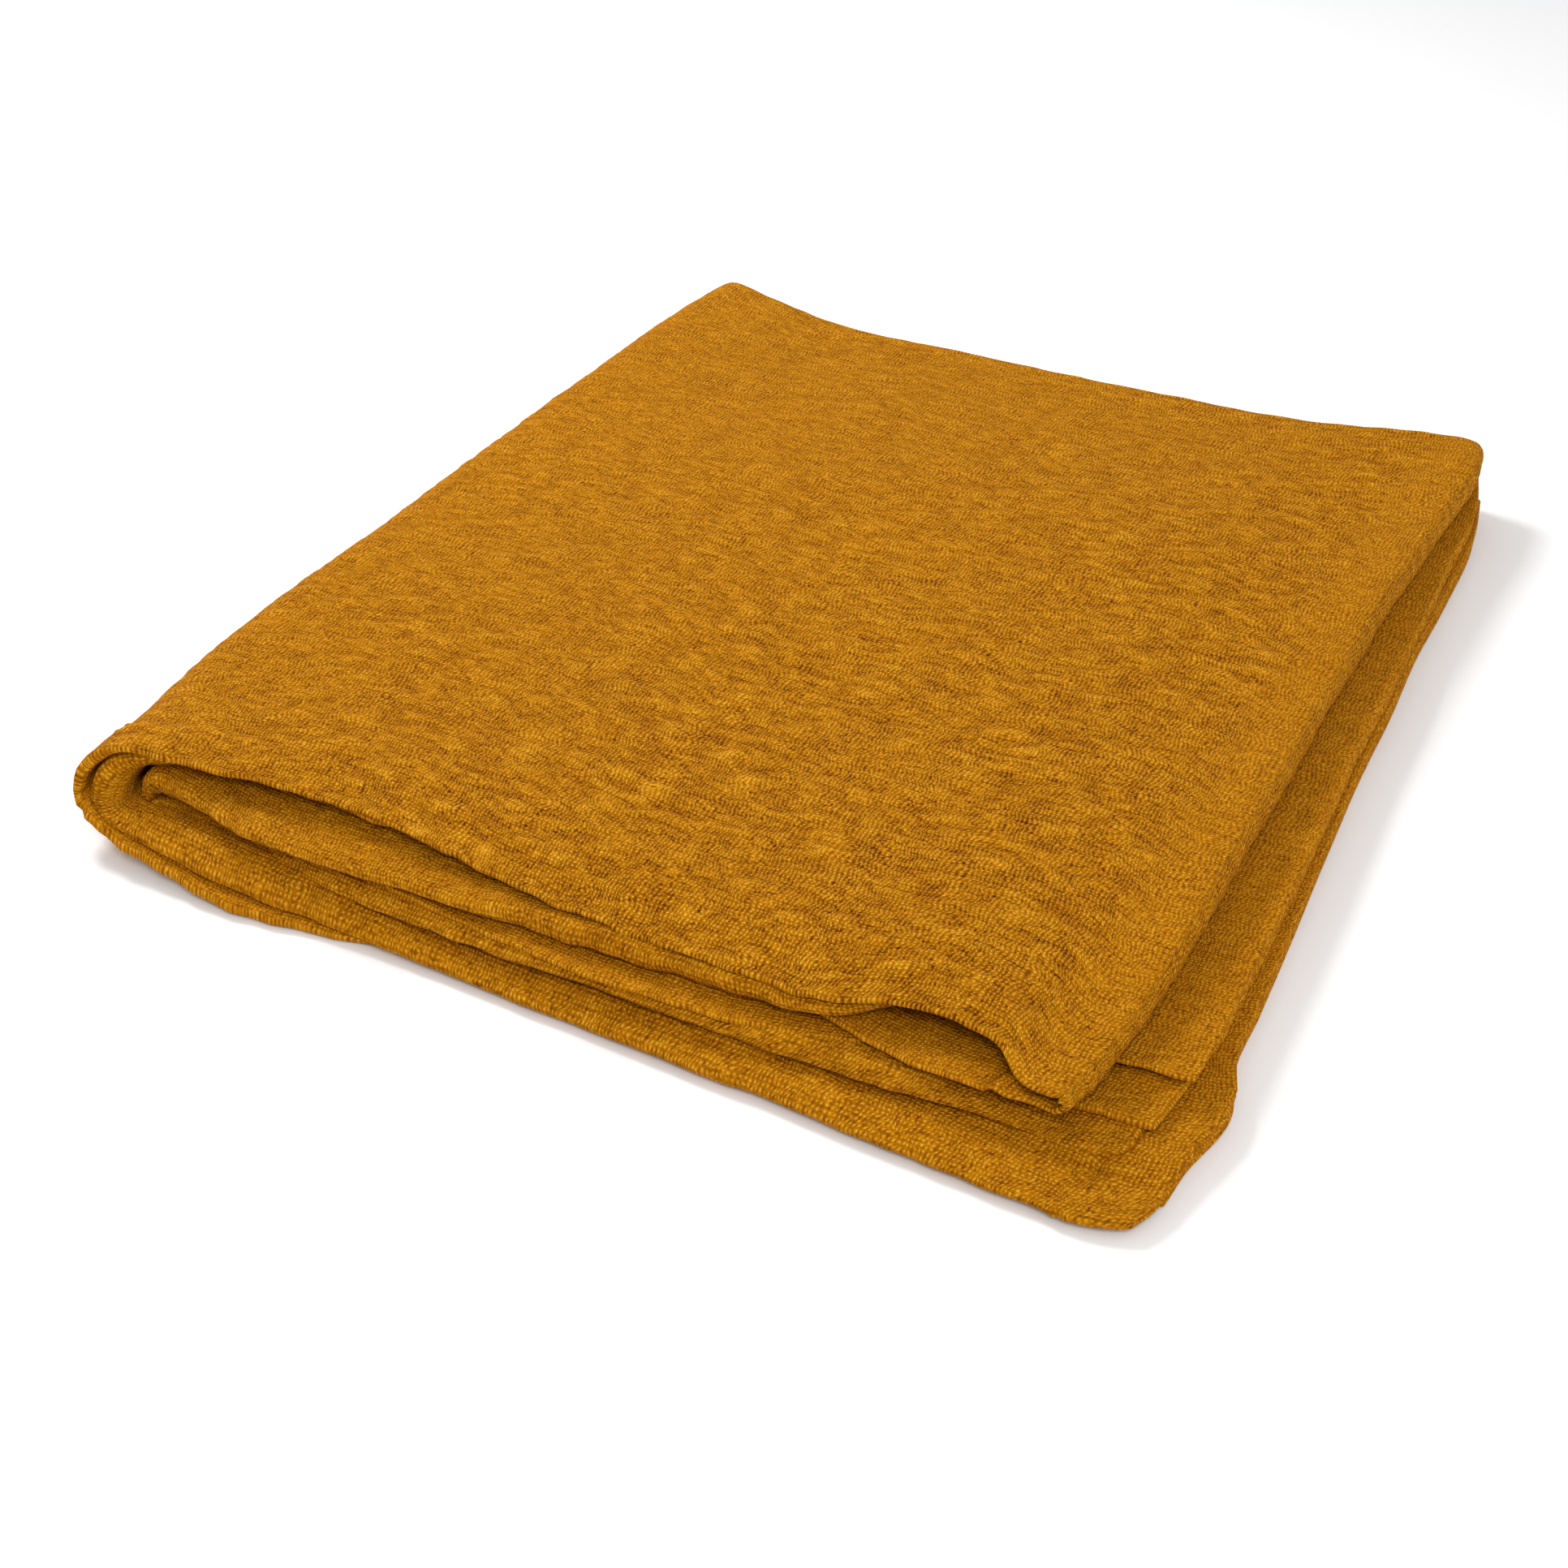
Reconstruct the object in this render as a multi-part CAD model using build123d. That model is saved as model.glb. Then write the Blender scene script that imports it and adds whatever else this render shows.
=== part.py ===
from build123d import *
import os

# A crinkled double-gauze throw, folded in quarters both ways into a flat stack of sixteen leaves.
# Millimetres. X runs across the width, Y from the front to the back, Z up.
# The origin is the centre of the stack's box, on the surface that the stack lies on.

# Driving dimensions
FOLDED_WIDTH = 340.0        # left fold to the free side edges of the bottom panel
FOLDED_DEPTH = 428.0        # front folds to back folds
CLOTH = 1.7                 # one leaf of cloth, as it lies in the stack
AIR = 0.3                   # space between neighbouring leaves
LEAVES = 4                  # leaves in one panel, folded to and fro from front to back
HEM_WIDTH = 18.0            # turned and stitched edge of the cloth
STITCH_INSET = 15.0         # outer edge of a hem to its line of stitching
THREAD_WIDTH = 0.6
THREAD_DEPTH = 0.4
HINGE_CLEARANCE = 0.3       # upper half's leaves to the plane of the left fold
SECOND_SIDE_INSET = 8.0     # side edge of the second panel, in from that of the bottom panel
RIGHT_FOLD_INSET = 20.0     # right fold of the upper half, in from the same edge

# How far the front fold and the front hems of each panel lie behind the front of the stack
FRONT_FOLD_INSET = {"bottom_panel": 0.0, "second_panel": 3.0, "third_panel": 9.0, "top_panel": 12.0}
FRONT_HEM_INSET = {"bottom_panel": 8.0, "second_panel": 11.0, "third_panel": 16.0, "top_panel": 20.0}

# Levels count the leaves up from the floor, from 0 to 15: the level of leaf 1, and the step to leaf 2
FIRST_LEVEL = {"bottom_panel": 0, "second_panel": 7, "third_panel": 8, "top_panel": 15}
LEVEL_STEP = {"bottom_panel": 1, "second_panel": -1, "third_panel": 1, "top_panel": -1}
LOWER_PANELS = ("bottom_panel", "second_panel")
HEMMED_LEAVES = (1, 2)      # their front edges are edges of the cloth

# Derived dimensions
PITCH = CLOTH + AIR
PANELS = tuple(FIRST_LEVEL)
LEAF_NUMBERS = range(1, LEAVES + 1)
STACK_HEIGHT = len(PANELS) * LEAVES * PITCH - AIR
SPLIT_HEIGHT = STACK_HEIGHT / 2
LEFT_FOLD_X = -FOLDED_WIDTH / 2 + STACK_HEIGHT / 2
FRONT = -FOLDED_DEPTH / 2
BACK_RADIUS = 1.5 * PITCH
BACK_FOLD_Y = FOLDED_DEPTH / 2 - BACK_RADIUS - CLOTH / 2
RIGHT_FOLD_RADIUS = (LEAVES - 0.5) * PITCH
RIGHT_FOLD_X = FOLDED_WIDTH / 2 - RIGHT_FOLD_INSET - RIGHT_FOLD_RADIUS - CLOTH / 2
RIGHT_FOLD_HEIGHT = SPLIT_HEIGHT + LEAVES * PITCH
SIDE_EDGE_X = {
    "bottom_panel": FOLDED_WIDTH / 2,
    "second_panel": FOLDED_WIDTH / 2 - SECOND_SIDE_INSET,
}


def leaf_height(panel, leaf):
    """Height of the middle of a leaf."""
    level = FIRST_LEVEL[panel] + LEVEL_STEP[panel] * (leaf - 1)
    return CLOTH / 2 + level * PITCH


def left_end(panel):
    """Where a panel's flat leaves begin, beside the left fold."""
    if panel in LOWER_PANELS:
        return LEFT_FOLD_X
    return LEFT_FOLD_X + HINGE_CLEARANCE


def right_end(panel):
    """Where a panel's flat leaves end: at its side hem, or at the right fold."""
    if panel in LOWER_PANELS:
        return SIDE_EDGE_X[panel] - HEM_WIDTH
    return RIGHT_FOLD_X


def fold_end(panel):
    """Where a panel's front and back folds end: they run through a side hem."""
    if panel in LOWER_PANELS:
        return SIDE_EDGE_X[panel]
    return RIGHT_FOLD_X


def front_fold_y(panel):
    """Centre line of the fold that joins leaves 3 and 4 at the front."""
    return FRONT + FRONT_FOLD_INSET[panel] + PITCH / 2 + CLOTH / 2


def leaf_front(panel, leaf):
    """Front end of a leaf, hem included."""
    if leaf in HEMMED_LEAVES:
        return FRONT + FRONT_HEM_INSET[panel]
    return front_fold_y(panel)


def slab(x_range, y_range, height):
    """A flat length of cloth, given by its edges and the height of its middle."""
    box = Box(x_range[1] - x_range[0], y_range[1] - y_range[0], CLOTH)
    return Pos((x_range[0] + x_range[1]) / 2, (y_range[0] + y_range[1]) / 2, height) * box


def bend(radius, length, plane):
    """Cloth turned back on itself about the plane's Z axis, on the side of the plane's Y axis."""
    on_axis = (Align.NONE, Align.NONE, Align.CENTER)
    outside = Cylinder(radius + CLOTH / 2, length, arc_size=180, align=on_axis)
    inside = Cylinder(radius - CLOTH / 2, length)
    return plane * (outside - inside)


def bend_along_x(radius, x_range, y, height, towards_back):
    """A fold whose crease runs across the width."""
    middle = ((x_range[0] + x_range[1]) / 2, y, height)
    side = (0, 0, -1) if towards_back else (0, 0, 1)
    return bend(radius, x_range[1] - x_range[0], Plane(middle, x_dir=side, z_dir=(1, 0, 0)))


def bend_along_y(radius, y_range, x, height, towards_right):
    """A fold whose crease runs from front to back."""
    middle = (x, (y_range[0] + y_range[1]) / 2, height)
    side = (0, 0, 1) if towards_right else (0, 0, -1)
    return bend(radius, y_range[1] - y_range[0], Plane(middle, x_dir=side, z_dir=(0, 1, 0)))


def hem_and_thread(x_range, y_range, height, along_x, edge):
    """A hem with a groove in its upper face, and the sewing thread that fills the groove."""
    hem = slab(x_range, y_range, height)
    thread_height = height + CLOTH / 2 - THREAD_DEPTH / 2
    if along_x:
        middle = ((x_range[0] + x_range[1]) / 2, edge + STITCH_INSET, thread_height)
        size = (x_range[1] - x_range[0], THREAD_WIDTH, THREAD_DEPTH)
    else:
        middle = (edge - STITCH_INSET, (y_range[0] + y_range[1]) / 2, thread_height)
        size = (THREAD_WIDTH, y_range[1] - y_range[0], THREAD_DEPTH)
    thread = Pos(*middle) * Box(*size)
    return hem - thread, thread


def panel_leaves(panel):
    """The four flat leaves of a panel, without their hems."""
    nodes = {}
    for leaf in LEAF_NUMBERS:
        front = leaf_front(panel, leaf)
        if leaf in HEMMED_LEAVES:
            front += HEM_WIDTH
        flat = slab((left_end(panel), right_end(panel)), (front, BACK_FOLD_Y), leaf_height(panel, leaf))
        nodes[f"{panel}_leaf_{leaf}"] = flat
    return nodes


def panel_folds(panel):
    """A panel's two back folds, one inside the other, and its front fold."""
    x_range = (left_end(panel), fold_end(panel))
    back_height = (leaf_height(panel, 1) + leaf_height(panel, LEAVES)) / 2
    front_height = (leaf_height(panel, 3) + leaf_height(panel, 4)) / 2
    return {
        f"{panel}_back_fold_outer": bend_along_x(BACK_RADIUS, x_range, BACK_FOLD_Y, back_height, True),
        f"{panel}_back_fold_inner": bend_along_x(PITCH / 2, x_range, BACK_FOLD_Y, back_height, True),
        f"{panel}_front_fold": bend_along_x(PITCH / 2, x_range, front_fold_y(panel), front_height, False),
    }


def front_hems(panel):
    """The hems along the front edges of leaves 1 and 2, and their stitching."""
    hems = []
    threads = []
    for leaf in HEMMED_LEAVES:
        edge = leaf_front(panel, leaf)
        x_range = (left_end(panel), right_end(panel))
        y_range = (edge, edge + HEM_WIDTH)
        hem, thread = hem_and_thread(x_range, y_range, leaf_height(panel, leaf), True, edge)
        hems.append(hem)
        threads.append(thread)
    return {
        f"{panel}_front_hems": Compound(children=hems),
        f"{panel}_front_hem_stitching": Compound(children=threads),
    }


def side_hems(panel):
    """The hem down the free side edge of each leaf of a lower panel, and its stitching."""
    hems = []
    threads = []
    edge = SIDE_EDGE_X[panel]
    for leaf in LEAF_NUMBERS:
        x_range = (edge - HEM_WIDTH, edge)
        y_range = (leaf_front(panel, leaf), BACK_FOLD_Y)
        hem, thread = hem_and_thread(x_range, y_range, leaf_height(panel, leaf), False, edge)
        hems.append(hem)
        threads.append(thread)
    return {
        f"{panel}_side_hems": Compound(children=hems),
        f"{panel}_side_hem_stitching": Compound(children=threads),
    }


def left_folds():
    """The cloth of each leaf around the left fold: four outer bends over four inner ones."""
    nodes = {}
    for leaf in LEAF_NUMBERS:
        for name, panel in (("outer", "bottom_panel"), ("inner", "second_panel")):
            radius = SPLIT_HEIGHT - leaf_height(panel, leaf)
            y_range = (FRONT + FRONT_HEM_INSET[panel], FOLDED_DEPTH / 2)
            turned = bend_along_y(radius, y_range, LEFT_FOLD_X, SPLIT_HEIGHT, False)
            nodes[f"left_fold_{name}_{leaf}"] = turned
    return nodes


def right_folds():
    """The cloth of each leaf around the right fold, between the third panel and the top panel."""
    nodes = {}
    for leaf in LEAF_NUMBERS:
        radius = leaf_height("top_panel", leaf) - RIGHT_FOLD_HEIGHT
        y_range = (leaf_front("top_panel", leaf), BACK_FOLD_Y)
        nodes[f"right_fold_{leaf}"] = bend_along_y(radius, y_range, RIGHT_FOLD_X, RIGHT_FOLD_HEIGHT, True)
    return nodes


nodes = {}
for panel in PANELS:
    nodes.update(panel_leaves(panel))
    nodes.update(panel_folds(panel))
    nodes.update(front_hems(panel))
for panel in LOWER_PANELS:
    nodes.update(side_hems(panel))
nodes.update(left_folds())
nodes.update(right_folds())

os.makedirs("parts", exist_ok=True)
for name, shape in nodes.items():
    export_step(shape, f"parts/{name}.step")
print(f"{len(nodes)} nodes, stack {STACK_HEIGHT:.2f} mm high, left fold axis at x {LEFT_FOLD_X:.2f} mm")
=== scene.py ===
import math
from types import SimpleNamespace

import bpy
import numpy as np
from mathutils import Matrix, Vector


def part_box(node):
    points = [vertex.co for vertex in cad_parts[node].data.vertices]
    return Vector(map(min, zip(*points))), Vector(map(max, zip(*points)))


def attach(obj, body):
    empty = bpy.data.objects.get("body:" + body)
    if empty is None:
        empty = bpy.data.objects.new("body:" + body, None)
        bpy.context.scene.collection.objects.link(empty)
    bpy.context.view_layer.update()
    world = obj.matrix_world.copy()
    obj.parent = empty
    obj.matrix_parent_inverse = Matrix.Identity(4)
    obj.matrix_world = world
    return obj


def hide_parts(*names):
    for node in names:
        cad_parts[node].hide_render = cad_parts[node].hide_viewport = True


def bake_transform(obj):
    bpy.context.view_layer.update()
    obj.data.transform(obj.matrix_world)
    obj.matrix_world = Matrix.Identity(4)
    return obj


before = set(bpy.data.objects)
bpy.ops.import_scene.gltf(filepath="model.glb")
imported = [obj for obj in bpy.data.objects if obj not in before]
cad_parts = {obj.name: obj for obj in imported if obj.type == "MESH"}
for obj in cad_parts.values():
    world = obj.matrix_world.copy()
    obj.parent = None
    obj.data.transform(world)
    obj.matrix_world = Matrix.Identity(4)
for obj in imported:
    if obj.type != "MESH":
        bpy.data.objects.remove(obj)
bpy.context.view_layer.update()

# A crinkled double-gauze throw, folded in quarters both ways. The cloth is worked out from how it is folded.
# Its panels, counted along the cloth's width, are bottom, top, third and second. Each panel is four leaves
# deep: leaf 1, a fold at the back, leaf 4, a fold at the front, leaf 3, an inner fold at the back, leaf 2.
# Lengths are in millimetres until a mesh is made. depth is how far in from its panel's outside a leaf lies,
# in units of which a leaf is two thick. p counts the panels along a cloth, and y runs from front to back.
MM = 0.001


def cad_mm(node):
    """A CAD node's lowest and highest corner, in millimetres."""
    low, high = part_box(node)
    return np.array(low) / MM, np.array(high) / MM


BACK = cad_mm("bottom_panel_back_fold_outer")[1][1]
HEIGHT = cad_mm("top_panel_leaf_1")[1][2]
MIDDLE = HEIGHT / 2         # the plane where the upper half parts from the lower half
CREASE = (MIDDLE - 0.06, MIDDLE + 0.06)     # the heights between which the cloths turn over at the book fold
PANEL = HEIGHT / 4
UNIT = PANEL / 8            # leaves 1, 2, 3 and 4 are 1, 3, 5 and 7 units deep

CLOTH = 1.15                # thickness of the cloth itself
HEM_THICKNESS = 2.2
HEM_WIDTH = 17.0
STITCH_INSET = 14.0
BACK_CENTRE = BACK - 3 * UNIT - 1.2
TAIL = 22.0                 # how far a piece runs on, out of sight, before the next one takes over
LAP = 6.0                   # how much of a tail the next piece covers
FAR = 1000.0                # a distance from an edge that no hem reaches
ON_FLOOR = 0.05             # the lowest that any cloth lies


# ---------------------------------------------------------------- smooth functions and noise

def smooth(value, low, high):
    """0 below low, 1 above high, and a smooth step between."""
    t = np.clip((value - low) / (high - low), 0.0, 1.0)
    return t * t * (3.0 - 2.0 * t)


def hump(value, centre, width):
    """A smooth bump of height 1 at centre."""
    return np.exp(-((value - centre) / width) ** 2)


def curve(value, stations):
    """A smooth line through (value, height) stations."""
    xs = np.array([s[0] for s in stations], float)
    ys = np.array([s[1] for s in stations], float)
    slopes = np.gradient(ys, xs)
    value = np.clip(value, xs[0], xs[-1])
    i = np.clip(np.searchsorted(xs, value) - 1, 0, len(xs) - 2)
    step = xs[i + 1] - xs[i]
    t = (value - xs[i]) / step
    rise = t * t * (3 - 2 * t)
    return (
        ys[i] * (1 - rise) + ys[i + 1] * rise
        + step * (slopes[i] * t * (1 - t) ** 2 - slopes[i + 1] * t * t * (1 - t))
    )


def noise(u, v, seed):
    """Smooth gradient noise over a plane, from about -1 to 1, one cell per unit."""
    size = 256
    angles = np.random.default_rng(seed).uniform(0, 2 * math.pi, (size, size))
    u, v = np.broadcast_arrays(np.asarray(u, float), np.asarray(v, float))
    u0 = np.floor(u).astype(int)
    v0 = np.floor(v).astype(int)
    fu = u - u0
    fv = v - v0

    def corner(i, j):
        a = angles[(u0 + i) % size, (v0 + j) % size]
        return np.cos(a) * (fu - i) + np.sin(a) * (fv - j)

    su = fu ** 3 * (fu * (fu * 6 - 15) + 10)
    sv = fv ** 3 * (fv * (fv * 6 - 15) + 10)
    near = corner(0, 0) * (1 - su) + corner(1, 0) * su
    far = corner(0, 1) * (1 - su) + corner(1, 1) * su
    return 1.5 * (near * (1 - sv) + far * sv)


def crinkle(s, t):
    """Height of the cloth's puckers: little waves a few millimetres apart, longer across the width."""
    bend = 2.6 * noise(s / 34, t / 26, 12)
    waves = noise(s / 11.0, (t + bend) / 3.7, 13)
    large = noise(s / 26, (t + bend) / 8, 14)
    strength = 0.9 + 0.45 * noise(s / 70, t / 60, 15)
    crest = waves + 0.35 * np.abs(waves)
    return strength * (0.72 * crest + 0.20 * large)


# ---------------------------------------------------------------- where the stack's sides are

def right_fold_x(y):
    """Centre of the upper half's right fold: it runs in towards the front."""
    return curve(y, [(-215, 127.5), (-203, 129), (-190, 133.5), (-148, 140), (-58, 143.5), (54, 147.5),
                     (158, 154.5), (200, 156.5), (216, 155)])


def nose_stretch(y):
    """How much longer than high the left fold is."""
    return 1.0 + 0.45 * (1 - smooth(y, -205, -105))


def nose_x(y):
    """Centre of the left fold."""
    tip = curve(y, [(-215, -166), (-200, -167.5), (-150, -171.5), (-107, -173), (-19, -173.5), (120, -173),
                    (190, -172), (216, -169)])
    return tip + (MIDDLE - UNIT + CLOTH / 2) * nose_stretch(y)


def bottom_edge_x(y):
    """Free side edge of the bottom panel, with its rounded front corner and a small bump behind it."""
    return curve(y, [(-216, 152), (-211, 157.5), (-206, 160.5), (-184, 164.8), (-157, 168.8), (-149, 166.4),
                     (-118, 165.6), (-88, 165), (-23, 163.8), (83, 164), (190, 165), (216, 162)])


def second_edge_x(y):
    """Free side edge of the second panel."""
    return curve(y, [(-216, 155), (-190, 157.5), (-171, 159.5), (-121, 161.5), (0, 161.8), (127, 163.4),
                     (200, 162), (216, 159)])


# ---------------------------------------------------------------- the path across the width

def outer_path(p, depth, y):
    """Bottom panel 0-1, left fold 1-2, top panel 2-3, right fold 3-4, and its end in the third panel 4-5."""
    centre = nose_x(y)
    edge = bottom_edge_x(y)
    fold = right_fold_x(y)
    radius = MIDDLE - depth
    small = np.maximum(PANEL - depth, 0.5)
    turn = math.pi * np.clip(p - 1, 0, 1)
    turn2 = math.pi * np.clip(p - 3, 0, 1)
    x = np.select(
        [p < 1, p < 2, p < 3, p < 4],
        [
            edge + (centre - edge) * p,
            centre - nose_stretch(y) * radius * np.sin(turn),
            centre + (fold - centre) * (p - 2),
            fold + 0.5 * small * np.sin(turn2),
        ],
        fold - TAIL * (p - 4),
    )
    z = np.select(
        [p < 1, p < 2, p < 3, p < 4],
        [depth, MIDDLE - radius * np.cos(turn), HEIGHT - depth, HEIGHT - PANEL + small * np.cos(turn2)],
        HEIGHT - PANEL - small,
    )
    return x, z


def inner_path(p, depth, y):
    """Third panel 0-1, inner left fold 1-2, second panel 2-3."""
    centre = nose_x(y) + 6.0 * (1 - smooth(y, -200, -120))
    edge = second_edge_x(y) - 1.5 * (depth / UNIT - 1) * (1 - smooth(y, -185, -140))
    start = right_fold_x(y) - TAIL + LAP
    turn = math.pi * np.clip(p - 1, 0, 1)
    x = np.select(
        [p < 1, p < 2],
        [start + (centre - start) * p, centre - depth * np.sin(turn)],
        centre + (edge - centre) * (p - 2),
    )
    gap = depth + 0.3 * (1 - smooth(depth, 0, 2 * UNIT))
    # at the front right corner its lower leaves hang down, one below the other
    hang = smooth(x, 108, 134) * (1 - smooth(y, -176, -150)) * (p > 2)
    gap_below = gap + hang * np.where(depth > 2 * UNIT, 2.9, 0.0)
    z = np.select([p < 1, p < 2], [MIDDLE + gap, MIDDLE + gap * np.cos(turn)], MIDDLE - gap_below)
    return x, z


# ---------------------------------------------------------------- where each leaf ends at the front
# Each line gives y along x, or along the turn of a left fold, which counts from 0 below to 1 above.

NOSE_X = -150.0


def front_line(p, first, turn, last, last_start, tail=None, wave=1.0, seed=51):
    """A front line that runs along the first panel, round the left fold and along the last panel."""
    x_first = first[1] + (NOSE_X - first[1]) * np.clip(p, 0, 1)
    x_last = NOSE_X + (last_start - NOSE_X) * np.clip(p - 2, 0, 1)
    y = np.select(
        [p < 1, p < 2],
        [curve(x_first, first[0]), curve(np.clip(p - 1, 0, 1), turn)],
        curve(x_last, last),
    )
    if tail is not None:
        y = np.where(p > 3, curve(p, tail), y)
    along = p * 300.0
    return y + wave * (1.3 * noise(along / 21, seed, seed) + 0.8 * noise(along / 9, seed, seed + 1))


OUTER_HEM = dict(
    first=([(-150, -202.5), (-130, -205), (-110, -206), (-90, -205), (-73, -202), (-50, -197),
            (-20, -194), (100, -195), (165, -198)], 164.0),
    turn=[(0, -202.5), (0.25, -199), (0.5, -194), (0.75, -190), (1, -187.0)],
    last=[(-150, -187.0), (-130, -185.0), (-110, -181.5), (-89, -179.5), (-60, -181.5), (-31, -185.5),
          (37, -191), (79, -190.5), (98, -186), (110, -184.5), (122, -187), (132, -193.5), (142, -195)],
    last_start=142.0,
    tail=[(3.0, -195), (3.5, -195), (4.0, -195.5), (5.0, -194)],
    seed=51,
)
OUTER_LOOP = dict(
    first=([(-150, -200.5), (-123, -203), (-76, -203), (-6, -206), (62, -209.5), (108, -212.5), (138, -214),
            (150, -214), (160, -212.5), (166, -209)], 164.0),
    turn=[(0, -200.5), (0.25, -198), (0.5, -193.5), (0.75, -189), (1, -185)],
    last=[(-150, -185), (-135, -179), (-100, -168), (-60, -166), (-30, -168), (60, -170), (142, -168)],
    last_start=142.0,
    tail=[(3.0, -168), (5.0, -168)],
    wave=0.5,
    seed=61,
)
OUTER_LINING = dict(
    first=([(-150, -189), (-73, -190), (0, -191), (166, -190)], 164.0),
    turn=[(0, -189), (1, -174)],
    last=[(-150, -174), (-115, -172), (-95, -177), (-70, -178.5), (-40, -172), (142, -166)],
    last_start=142.0,
    tail=[(3.0, -166), (5.0, -166)],
    seed=71,
)
INNER_HEM = dict(
    first=([(-150, -180), (-100, -186), (-50, -187), (60, -186), (80, -191), (90, -194), (122, -196)], 122.0),
    turn=[(0, -184), (1, -184)],
    last=[(-150, -184), (100, -184), (125, -172), (145, -168), (160, -167)],
    last_start=160.0,
    wave=0.6,
    seed=81,
)
INNER_LOOP = dict(
    first=([(-150, -187), (-136, -189.5), (-122, -192.5), (-108, -194.5), (-88, -195), (-44, -194.5),
            (38, -192.5), (70, -192), (78, -189), (88, -180), (122, -174)], 122.0),
    turn=[(0, -187), (0.5, -188), (1, -187)],
    last=[(-150, -187), (-110, -190), (-85, -195), (-50, -198), (10, -199.5), (60, -200.5), (100, -199),
          (130, -195), (143, -193.5), (153, -193), (160, -192.5)],
    last_start=160.0,
    wave=0.7,
    seed=91,
)
INNER_LINING = dict(
    first=([(-150, -174), (122, -172)], 122.0),
    turn=[(0, -178), (1, -178)],
    last=[(-150, -180), (90, -182), (120, -184.5), (140, -184), (152, -183.5), (160, -183)],
    last_start=160.0,
    wave=0.5,
    seed=101,
)


# ---------------------------------------------------------------- the stack's own softness

def settle(x, y, z):
    """What was flat and even sags, lifts and tapers. The plane between the two halves stays where it is."""
    level = np.clip(z / HEIGHT, 0, 1)
    above = np.maximum(z - MIDDLE, 0)
    below = np.minimum(z, MIDDLE)
    # the third panel lies low inside the mouth at the front left
    mouth = smooth(x, -140, -118) * (1 - smooth(x, -60, 10)) * (1 - smooth(y, -190, -158))
    low = 0.22 + 0.25 * smooth(x, -125, -95)
    above = above * (1 - low * mouth * smooth(above, 1.0, 4.0) * (above < MIDDLE - PANEL))
    # the top runs hollow beside its right fold
    above = above - 2.2 * hump(x, 112, 20) * smooth(y, -195, -110) * (1 - smooth(y, 120, 205)) * level ** 3
    # the upper half is pressed thin in the middle of its back edge and towards its front right corner
    back = 0.40 * smooth(y, 40, BACK) * (1 - smooth(np.abs(x + 4), 75, 165))
    corner = smooth(x, 84, 134) * (0.18 + 0.32 * (1 - smooth(y, -192, -105)))
    uneven = 1 + 0.06 * noise(x / 90 + 3.3, y / 110, 41)
    above = above * (1 - back) * (1 - corner) * np.minimum(uneven, 1.04)
    # the left fold lifts off the floor towards the front
    reach = (1 - smooth(x, -172, -92)) * (1 - smooth(y, -203, -90))
    below = below + 8.5 * reach * (1 - below / MIDDLE) ** 0.8
    # the back edge runs in between its corners, and the corners are round
    pull = 9.5 * (1 - smooth(np.abs(x + 8), 90, 158))
    round_off = 9.0 * smooth(-x, 158, 175) + 9.0 * smooth(x, 150, 168)
    y = y - (pull + round_off) * smooth(y, 130, BACK) + 3.0 * smooth(y, 170, BACK) * hump(x, -158, 14)
    # the sides wave a little
    x = x + 0.8 * noise(y / 55 + 7.7, z / 60, 42)
    return np.stack([x, y, below + above], -1)


def flap_droop(x, y, front):
    """How far the top panel's outermost leaf sinks over the leaves that end behind its edge."""
    amount = curve(x, [(-175, 0.4), (-150, 0.6), (-130, 1.4), (-89, 3.4), (-31, 5.4), (37, 6.2), (79, 5.0),
                       (104, 2.6), (118, 2.2), (130, 4.0), (140, 6.5)])
    return amount * (1 - smooth(y - front, 0, 24)) ** 1.3


# ---------------------------------------------------------------- cloth as meshes

def steps(*runs):
    """Stations from runs of (start, end, count): the ends are shared."""
    out = [np.linspace(a, b, n, endpoint=False) for a, b, n in runs]
    return np.concatenate(out + [np.array([runs[-1][1]])])


def leaf_stations(fine, length=400.0):
    """Places along a leaf from its hem, 0, to the fold, 1: close together at the hem's rounded edge."""
    near = [0.0, 0.15, 0.45, 0.9, 1.5, 2.4]
    stop = steps((3.6, 26, max(3, int(22 / (fine * 0.8)))), (26, length, int((length - 26) / fine)))
    return np.concatenate([near, stop]) / length


def side_stations(length, fine, edge=True):
    """Places along a panel from its free side edge, 0, to the left fold, 1."""
    near = [0.0, 0.15, 0.45, 0.9, 1.5, 2.4, 4, 6, 8, 10, 11.5, 12.7, 13.4, 14, 14.6, 15.3, 16.2, 17.5, 20]
    stop = steps((23, length, int((length - 23) / fine)))[:-1]
    if not edge:
        near, stop = [], steps((0, length, int(length / fine)))[:-1]
    return np.concatenate([near, stop]) / length


def round_end(distance, width):
    """A rounded edge: 0 at the edge itself and 1 from width in."""
    t = np.clip(distance / width, 0, 1)
    return np.sqrt(np.clip(1 - (1 - t) ** 2, 0, 1))


def normals(points):
    """Unit vectors square to a surface."""
    across = np.gradient(points, axis=0)
    along = np.gradient(points, axis=1)
    n = np.cross(across, along)
    return n / np.maximum(np.linalg.norm(n, axis=-1, keepdims=True), 1e-9)


def squeeze(z, limit, soft=0.8):
    """Heights kept above a limit: those near it or under it are pressed together, in their order."""
    pressed = limit + soft * np.exp((np.minimum(z, limit + soft) - limit - soft) / soft)
    return np.where(z < limit + soft, pressed, z)


def keep_in_half(z, halves):
    """Heights kept above the floor and on their own side of the plane between the halves."""
    below, above = CREASE
    z = np.where(halves > 0, squeeze(z, above), np.maximum(z, ON_FLOOR))
    return np.where(halves < 0, -squeeze(-z, -below), z)


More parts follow.
